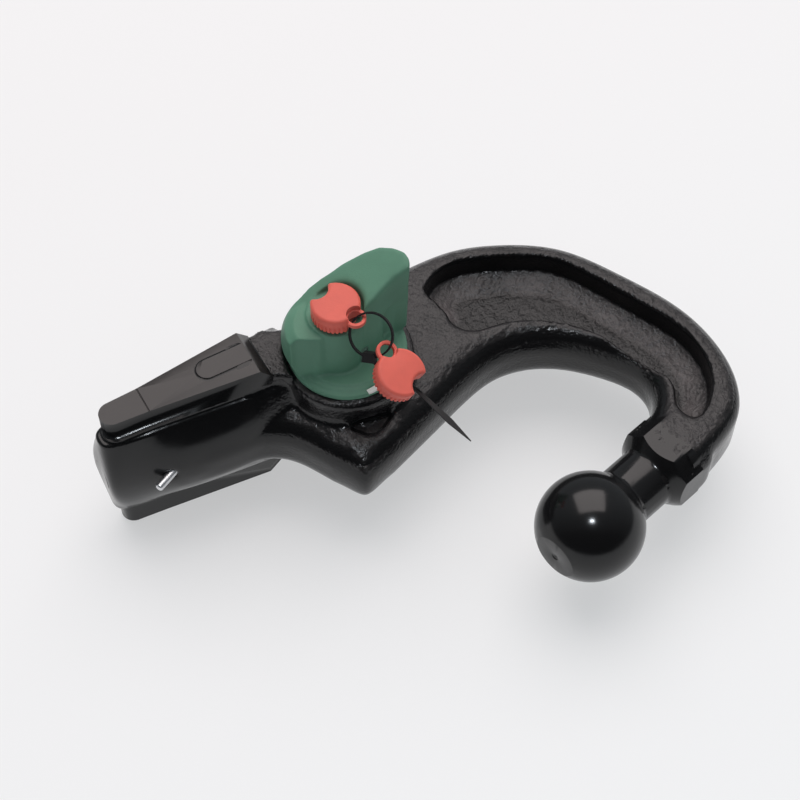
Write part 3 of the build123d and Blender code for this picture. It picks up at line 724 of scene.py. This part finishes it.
# places of the forging that are rounder than the rest, and their rounds of smoothing
ROUNDER_PLACES = (
    ("heel", near_heel, 130),
    ("hollow", near_hollow, 70),
    ("foot", near_boss_foot, 30),
    ("collar", near_collar_end, 40),
    ("rib", near_rib, 60),
    ("corner", near_floor_corner, 30),
    ("far_corner", near_far_corner, 60),
)


# ----------------------------------------------------------------- operators
class TRAILERHOOK_OT_arm(bpy.types.Operator):
    """The forging's arm, boss and heel, with edges blended like a forging's"""

    bl_idname = "trailerhook.arm"
    bl_label = "Arm and boss"

    def execute(self, context):
        piece = copy_of_node("forged_bar", "forging_arm")
        cut(piece, Vector((ARM_FROM_X, 0, 0)), Vector((-1, 0, 0)))
        blend_edges(piece, sizes().arm_cell, FORGING_ROUNDS)
        swell(piece, -sizes().valley, group(piece, "floors", sunk_floor))
        for name, near, rounds in ROUNDER_PLACES:
            smooth(piece, rounds, group(piece, name, near))
        self.roughen(piece)
        shade(piece)
        wear(piece, "bar_enamel")
        store(piece, "flatness", flatness)
        store(piece, "grain", grain)
        # painted sheen, painted shade and painted highlight, stored for the enamel's colour
        store(piece, "painted_sheen", painted_sheen)
        belong(piece, "hook", "bar_black", "forged_bar")
        return {"FINISHED"}

    def roughen(self, piece):
        """Small lumps in the forged skin of the flats."""
        lumps = bpy.data.textures.new("lumps", "CLOUDS")
        lumps.noise_scale = LUMP_SIZE
        lumps.noise_depth = 1
        flats = group(piece, "flats", flatness)
        apply_modifier(piece, "DISPLACE", texture=lumps, texture_coords="LOCAL",
                       strength=sizes().lumps, mid_level=0.5, vertex_group=flats)


class TRAILERHOOK_OT_tongue(bpy.types.Operator):
    """The forging's tongue, with its machined plateaus"""

    bl_idname = "trailerhook.tongue"
    bl_label = "Tongue"

    def execute(self, context):
        tongue = copy_of_node("forged_bar", "forging_tongue")
        cut(tongue, Vector((TONGUE_TO_X, 0, 0)), Vector((1, 0, 0)))
        join(tongue, copy_of_node("tip_plug", "plug_skin"))
        blend_edges(tongue, sizes().tongue_cell, FORGING_ROUNDS)
        swell(tongue, -TUCK, group(tongue, "hidden_end", near_hidden_end))
        smooth(tongue, FLANK_ROUNDS, group(tongue, "flanks", near_flank))
        shade(tongue)
        wear(tongue, "smooth_enamel")
        belong(tongue, "hook", "bar_black")
        for name, side in (("upper_plateau", 1), ("lower_plateau", -1)):
            self.plateau(name, side)
        return {"FINISHED"}

    def plateau(self, name, side):
        """One machined plateau, cut off just above the ledge, with its foot sunk in the skin."""
        piece = copy_of_node("forged_bar", name)
        cut(piece, Vector((PLATEAU_END_X, 0, 0)), Vector((1, 0, 0)))
        foot = side * (LEDGE_Z + 0.02 * MM)
        cut(piece, Vector((0, 0, foot)), Vector((0, 0, -side)))
        pick(piece, lambda at: abs(at.z) < LEDGE_Z + 0.1 * MM)
        bpy.ops.transform.translate(value=(0, 0, -2 * side * MM))
        bpy.ops.object.mode_set(mode="OBJECT")
        grind_edges(piece, sizes().ground_edge / 2, 20)
        wear(piece, "smooth_enamel", "plateau_satin")
        for face in piece.data.polygons:
            high = side * face.center.z > PLATEAU_FACE_Z
            if high and side * face.normal.z > PLATEAU_LEVEL:
                face.material_index = 1
        belong(piece, "hook", "bar_black")


class TRAILERHOOK_OT_ball(bpy.types.Operator):
    """The turned ball and neck, and the faceted collar"""

    bl_idname = "trailerhook.ball"
    bl_label = "Ball, neck and collar"

    def execute(self, context):
        piece = copy_of_node("forged_bar", "ball_and_collar")
        cut(piece, NECK_DIR * COLLAR_END, NECK_DIR)
        cut(piece, Vector((0, BALL_SIDE_Y, 0)), Vector((0, 1, 0)))
        grind_edges(piece, sizes().ground_edge, 24)
        wear(piece, "smooth_enamel")
        belong(piece, "hook", "bar_black")
        return {"FINISHED"}


class TRAILERHOOK_OT_wheel(bpy.types.Operator):
    """The moulded hand wheel with rounded edges, and its white mark"""

    bl_idname = "trailerhook.wheel"
    bl_label = "Hand wheel"

    def execute(self, context):
        piece = copy_of_node("hand_wheel", "wheel_moulding")
        blend_edges(piece, sizes().wheel_cell, WHEEL_ROUNDS)
        smooth(piece, CROWN_ROUNDS, group(piece, "crown", near_crown))
        shade(piece)
        wear(piece, "wheel_green")
        belong(piece, "wheel", "wheel_green", "hand_wheel")
        dress_node("wheel_mark", "mark_white")
        return {"FINISHED"}


class TRAILERHOOK_OT_keys(bpy.types.Operator):
    """Both keys: red caps and plated blades"""

    bl_idname = "trailerhook.keys"
    bl_label = "Keys"

    def execute(self, context):
        for node, body in (("key_head", "key"), ("spare_key_head", "spare_key")):
            piece = copy_of_node(node, node.replace("head", "cap"))
            bevel(piece, CAP_EDGE, 40)
            shade(piece, 35)
            wear(piece, "key_red")
            belong(piece, body, "key_red", node)
        for node in ("key_blade", "spare_key_blade"):
            dress_node(node, "nickel")
        return {"FINISHED"}


class TRAILERHOOK_OT_hardware(bpy.types.Operator):
    """The metal and rubber pieces, and the plug in the tongue's tip"""

    bl_idname = "trailerhook.hardware"
    bl_label = "Hardware"

    def execute(self, context):
        wearing = {
            "smooth_enamel": ("tip_plug",),
            "zinc": ("bottom_cover", "trigger_pin", "insert_screws", "lock_cam"),
            "steel": ("spindle", "pinion", "rack_rod", "locking_bolt", "stop_dog",
                      "drive_insert"),
            "spring_steel": ("rod_spring", "pin_spring", "torsion_spring", "spindle_clip"),
            "bronze": ("upper_bush", "lower_bush"),
            "nickel": ("lock_housing", "lock_plug"),
            "seal_rubber": ("boss_seal",),
        }
        for name, nodes in wearing.items():
            for node in nodes:
                dress_node(node, name)
        return {"FINISHED"}


class TRAILERHOOK_OT_tie(bpy.types.Operator):
    """The nylon tie, whose tail widens and then runs out in a point"""

    bl_idname = "trailerhook.tie"
    bl_label = "Cable tie"

    def execute(self, context):
        piece = copy_of_node("cable_tie", "tie_strap")
        along = TAIL_END - TAIL_START
        cut(piece, TAIL_START, along)
        join(piece, self.tail(along))
        shade(piece, 35)
        wear(piece, "tie_black")
        belong(piece, "tie", "tie_black", "cable_tie")
        return {"FINISHED"}

    def tail(self, along):
        """A flat blade from TAIL_START to TAIL_END, shaped by TAIL_WIDTHS."""
        bpy.ops.object.select_all(action="DESELECT")
        bpy.ops.mesh.primitive_cube_add(
            size=1.0, location=TAIL_START + along / 2,
            rotation=(0, 0, math.atan2(along.y, along.x)),
            scale=(along.length, TAIL_SECTION[0], TAIL_SECTION[1]),
        )
        blade = bpy.context.object
        bpy.ops.object.transform_apply(location=True, rotation=True, scale=True)
        for share, _ in TAIL_WIDTHS[1:-1]:
            lone(blade)
            bpy.ops.object.mode_set(mode="EDIT")
            bpy.ops.mesh.select_all(action="SELECT")
            bpy.ops.mesh.bisect(plane_co=TAIL_START + along * share, plane_no=along)
            bpy.ops.object.mode_set(mode="OBJECT")
        for share, width in TAIL_WIDTHS:
            centre = TAIL_START + along * share
            pick(blade, lambda at: abs((at - centre).dot(along)) < 0.1 * MM * along.length)
            bpy.ops.transform.resize(value=(width, width, 1.0), center_override=centre)
            bpy.ops.object.mode_set(mode="OBJECT")
        return blade


class TRAILERHOOK_OT_stage(bpy.types.Operator):
    """The pale table, the soft lamps and the camera"""

    bl_idname = "trailerhook.stage"
    bl_label = "Table, lamps and camera"

    def execute(self, context):
        lay_table()
        hang_lamps()
        set_camera()
        return {"FINISHED"}


# --------------------------------------------------------------------- stage
def lay_table():
    """A pale table that takes the hook's shadow and glows a little to the eye."""
    bpy.ops.object.select_all(action="DESELECT")
    bpy.ops.mesh.primitive_plane_add(size=TABLE_SIDE, location=(0.0, 0.0, FLOOR_Z))
    table = bpy.context.object
    table.name = "table"
    paint = Paint("table_pale", colours().table, 0.6, Specular_IOR_Level=0.2)
    spread = paint.node("ShaderNodeSeparateXYZ", "Y", Vector=paint.place())
    near, far = tuple(colours().table_near), tuple(colours().table)
    tone = paint.mixed(spread.between(*TABLE_TONE_SPAN), near, far)
    paint.into("Base Color", tone)
    seen = paint.node("ShaderNodeLightPath", "Is Camera Ray")
    glinting = paint.node("ShaderNodeLightPath", "Is Glossy Ray")
    glow = paint.node("ShaderNodeEmission", 0, Color=tone, Strength=TABLE_GLOW_POWER)
    surface = paint.node("ShaderNodeMixShader", 0, Fac=(seen + glinting) * TABLE_GLOW)
    feed(paint.tree, surface.socket.node.inputs[1], Wire(paint.tree, paint.shader.outputs[0]))
    feed(paint.tree, surface.socket.node.inputs[2], glow)
    feed(paint.tree, paint.tree.nodes["Material Output"].inputs["Surface"], surface)
    table.data.materials.append(paint.material)


def hang_lamps():
    """A dim room, a wide soft box behind the hook and a small lamp over the camera."""
    world = bpy.data.worlds.new("studio")
    bpy.context.scene.world = world
    world.use_nodes = True
    room = Sheet(world.node_tree)
    glinting = room.node("ShaderNodeLightPath", "Is Glossy Ray")
    toward = room.node("ShaderNodeTexCoord", "Generated")
    far = room.node("ShaderNodeVectorMath", "Value", {"operation": "DOT_PRODUCT"})
    feed(room.tree, far.socket.node.inputs[0], toward)
    feed(room.tree, far.socket.node.inputs[1], FAR_SIDE)
    least, more = ROOM_SEEN
    seen = far.between(*ROOM_SEEN_SPAN) * more + least
    least, more = ROOM_LIGHT
    lit = far.between(*ROOM_LIGHT_SPAN) * more + least
    light = world.node_tree.nodes["Background"]
    light.inputs["Color"].default_value = ROOM_COLOUR
    feed(room.tree, light.inputs["Strength"], lit + glinting * (seen - lit))
    for name, spot, size, power, colour, target, glints_only in LAMPS:
        lamp = bpy.data.lights.new(name, "AREA")
        lamp.shape = "RECTANGLE"
        lamp.size, lamp.size_y = size
        lamp.energy = power
        lamp.color = colour
        obj = bpy.data.objects.new(name, lamp)
        bpy.context.scene.collection.objects.link(obj)
        obj.location = spot
        away = Vector(target) - Vector(spot)
        obj.rotation_euler = away.to_track_quat("-Z", "Y").to_euler()
        obj.visible_diffuse = not glints_only


def set_camera():
    """The camera that the photo's view was solved for."""
    scene = bpy.context.scene
    lens = bpy.data.cameras.new("photo_camera")
    lens.lens = CAMERA_LENS
    lens.sensor_width = SENSOR
    lens.sensor_fit = "HORIZONTAL"
    lens.clip_start = 0.01
    lens.clip_end = 20.0
    camera = bpy.data.objects.new("photo_camera", lens)
    scene.collection.objects.link(camera)
    turn = Matrix((CAMERA_RIGHT, CAMERA_UP, CAMERA_BACK)).transposed()
    camera.matrix_world = Matrix.Translation(CAMERA_AT) @ turn.to_4x4()
    scene.camera = camera
    scene.view_settings.view_transform = "Standard"


# ------------------------------------------------------------------- add-on
class TRAILERHOOK_PT_panel(bpy.types.Panel):
    """Lists what the hook is made of"""

    bl_idname = "TRAILERHOOK_PT_panel"
    bl_label = "Trailer hook"
    bl_space_type = "VIEW_3D"
    bl_region_type = "UI"
    bl_category = "Trailer hook"

    def draw(self, context):
        column = self.layout.column()
        for settings in (context.scene.hook_sizes, context.scene.hook_colours):
            for key in settings.__annotations__:
                column.prop(settings, key)
        for operator in OPERATORS:
            column.operator(operator.bl_idname)


OPERATORS = (
    TRAILERHOOK_OT_arm,
    TRAILERHOOK_OT_tongue,
    TRAILERHOOK_OT_ball,
    TRAILERHOOK_OT_wheel,
    TRAILERHOOK_OT_keys,
    TRAILERHOOK_OT_hardware,
    TRAILERHOOK_OT_tie,
    TRAILERHOOK_OT_stage,
)
CLASSES = (HookSizes, HookColours, TRAILERHOOK_PT_panel) + OPERATORS


def register():
    for item in CLASSES:
        bpy.utils.register_class(item)
    bpy.types.Scene.hook_sizes = bpy.props.PointerProperty(type=HookSizes)
    bpy.types.Scene.hook_colours = bpy.props.PointerProperty(type=HookColours)


def unregister():
    del bpy.types.Scene.hook_colours
    del bpy.types.Scene.hook_sizes
    for item in reversed(CLASSES):
        bpy.utils.unregister_class(item)


def main():
    register()
    bpy.ops.trailerhook.arm()
    bpy.ops.trailerhook.tongue()
    bpy.ops.trailerhook.ball()
    bpy.ops.trailerhook.wheel()
    bpy.ops.trailerhook.keys()
    bpy.ops.trailerhook.hardware()
    bpy.ops.trailerhook.tie()
    bpy.ops.trailerhook.stage()


if __name__ == "__main__":
    main()
